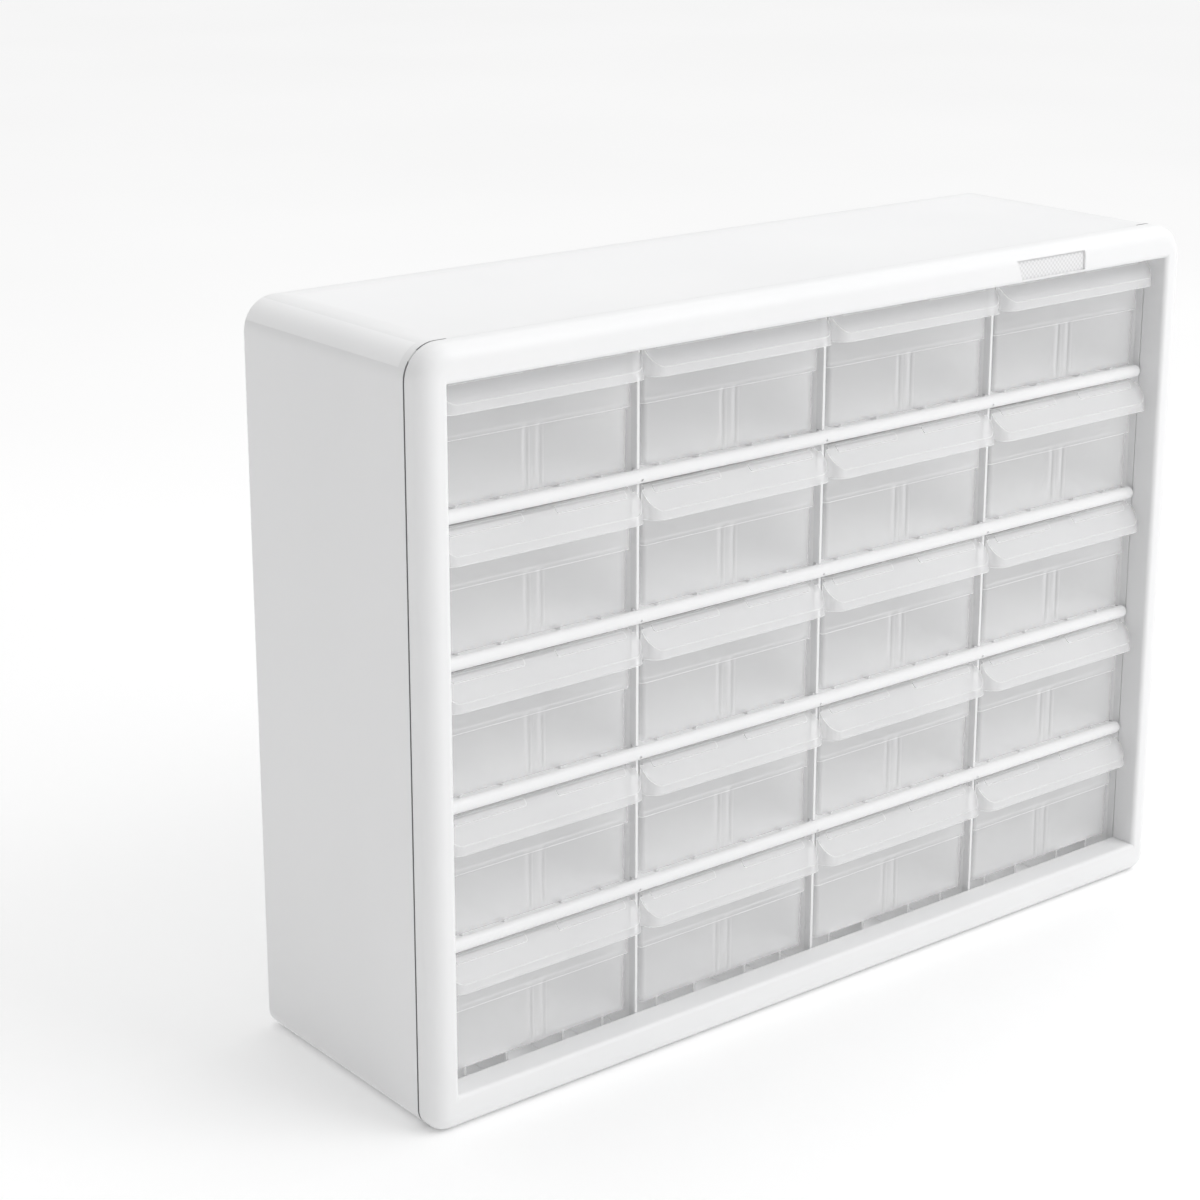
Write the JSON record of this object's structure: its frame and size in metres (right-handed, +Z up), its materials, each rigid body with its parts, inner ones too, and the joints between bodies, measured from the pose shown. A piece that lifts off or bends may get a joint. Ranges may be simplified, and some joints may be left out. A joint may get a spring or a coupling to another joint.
{
  "type": "craft stamp storage drawers",
  "caption": "White tabletop cabinet of translucent pull-out drawers in a grid, each with a full-width hooded finger pull, for stamps and small craft parts.",
  "frame": {"origin": "middle of the underside of the cabinet, halfway from front to back", "axes": "+X to the right of somebody facing the drawers, +Y to the back, +Z up; drawers pull out to -Y"},
  "size_m": [0.508, 0.152, 0.381],
  "materials": {
    "white_shell": "moulded opaque white plastic, faint satin sheen",
    "drawer_plastic": "frosted translucent moulded plastic"
  },
  "bodies": {
    "cabinet": {"case_shell": "white_shell", "front_bezel": "white_shell", "shelf_1": "white_shell", "shelf_2": "white_shell", "shelf_3": "white_shell", "shelf_4": "white_shell", "partition_1": "white_shell", "partition_2": "white_shell", "partition_3": "white_shell", "side_liner_left": "white_shell", "side_liner_right": "white_shell"},
    "body_drawer_row1_column1": {"drawer_row1_column1": "drawer_plastic"},
    "body_drawer_row1_column2": {"drawer_row1_column2": "drawer_plastic"},
    "body_drawer_row1_column3": {"drawer_row1_column3": "drawer_plastic"},
    "body_drawer_row1_column4": {"drawer_row1_column4": "drawer_plastic"},
    "body_drawer_row2_column1": {"drawer_row2_column1": "drawer_plastic"},
    "body_drawer_row2_column2": {"drawer_row2_column2": "drawer_plastic"},
    "body_drawer_row2_column3": {"drawer_row2_column3": "drawer_plastic"},
    "body_drawer_row2_column4": {"drawer_row2_column4": "drawer_plastic"},
    "body_drawer_row3_column1": {"drawer_row3_column1": "drawer_plastic"},
    "body_drawer_row3_column2": {"drawer_row3_column2": "drawer_plastic"},
    "body_drawer_row3_column3": {"drawer_row3_column3": "drawer_plastic"},
    "body_drawer_row3_column4": {"drawer_row3_column4": "drawer_plastic"},
    "body_drawer_row4_column1": {"drawer_row4_column1": "drawer_plastic"},
    "body_drawer_row4_column2": {"drawer_row4_column2": "drawer_plastic"},
    "body_drawer_row4_column3": {"drawer_row4_column3": "drawer_plastic"},
    "body_drawer_row4_column4": {"drawer_row4_column4": "drawer_plastic"},
    "body_drawer_row5_column1": {"drawer_row5_column1": "drawer_plastic"},
    "body_drawer_row5_column2": {"drawer_row5_column2": "drawer_plastic"},
    "body_drawer_row5_column3": {"drawer_row5_column3": "drawer_plastic"},
    "body_drawer_row5_column4": {"drawer_row5_column4": "drawer_plastic"}
  },
  "joints": [
    {"name": "slide_row1_column1", "type": "slide", "parent": "cabinet", "child": "body_drawer_row1_column1", "axis": [0, -1, 0], "range_m": [0, 0.108]},
    {"name": "slide_row1_column2", "type": "slide", "parent": "cabinet", "child": "body_drawer_row1_column2", "axis": [0, -1, 0], "range_m": [0, 0.108]},
    {"name": "slide_row1_column3", "type": "slide", "parent": "cabinet", "child": "body_drawer_row1_column3", "axis": [0, -1, 0], "range_m": [0, 0.108]},
    {"name": "slide_row1_column4", "type": "slide", "parent": "cabinet", "child": "body_drawer_row1_column4", "axis": [0, -1, 0], "range_m": [0, 0.108]},
    {"name": "slide_row2_column1", "type": "slide", "parent": "cabinet", "child": "body_drawer_row2_column1", "axis": [0, -1, 0], "range_m": [0, 0.108]},
    {"name": "slide_row2_column2", "type": "slide", "parent": "cabinet", "child": "body_drawer_row2_column2", "axis": [0, -1, 0], "range_m": [0, 0.108]},
    {"name": "slide_row2_column3", "type": "slide", "parent": "cabinet", "child": "body_drawer_row2_column3", "axis": [0, -1, 0], "range_m": [0, 0.108]},
    {"name": "slide_row2_column4", "type": "slide", "parent": "cabinet", "child": "body_drawer_row2_column4", "axis": [0, -1, 0], "range_m": [0, 0.108]},
    {"name": "slide_row3_column1", "type": "slide", "parent": "cabinet", "child": "body_drawer_row3_column1", "axis": [0, -1, 0], "range_m": [0, 0.108]},
    {"name": "slide_row3_column2", "type": "slide", "parent": "cabinet", "child": "body_drawer_row3_column2", "axis": [0, -1, 0], "range_m": [0, 0.108]},
    {"name": "slide_row3_column3", "type": "slide", "parent": "cabinet", "child": "body_drawer_row3_column3", "axis": [0, -1, 0], "range_m": [0, 0.108]},
    {"name": "slide_row3_column4", "type": "slide", "parent": "cabinet", "child": "body_drawer_row3_column4", "axis": [0, -1, 0], "range_m": [0, 0.108]},
    {"name": "slide_row4_column1", "type": "slide", "parent": "cabinet", "child": "body_drawer_row4_column1", "axis": [0, -1, 0], "range_m": [0, 0.108]},
    {"name": "slide_row4_column2", "type": "slide", "parent": "cabinet", "child": "body_drawer_row4_column2", "axis": [0, -1, 0], "range_m": [0, 0.108]},
    {"name": "slide_row4_column3", "type": "slide", "parent": "cabinet", "child": "body_drawer_row4_column3", "axis": [0, -1, 0], "range_m": [0, 0.108]},
    {"name": "slide_row4_column4", "type": "slide", "parent": "cabinet", "child": "body_drawer_row4_column4", "axis": [0, -1, 0], "range_m": [0, 0.108]},
    {"name": "slide_row5_column1", "type": "slide", "parent": "cabinet", "child": "body_drawer_row5_column1", "axis": [0, -1, 0], "range_m": [0, 0.108]},
    {"name": "slide_row5_column2", "type": "slide", "parent": "cabinet", "child": "body_drawer_row5_column2", "axis": [0, -1, 0], "range_m": [0, 0.108]},
    {"name": "slide_row5_column3", "type": "slide", "parent": "cabinet", "child": "body_drawer_row5_column3", "axis": [0, -1, 0], "range_m": [0, 0.108]},
    {"name": "slide_row5_column4", "type": "slide", "parent": "cabinet", "child": "body_drawer_row5_column4", "axis": [0, -1, 0], "range_m": [0, 0.108]}
  ]
}
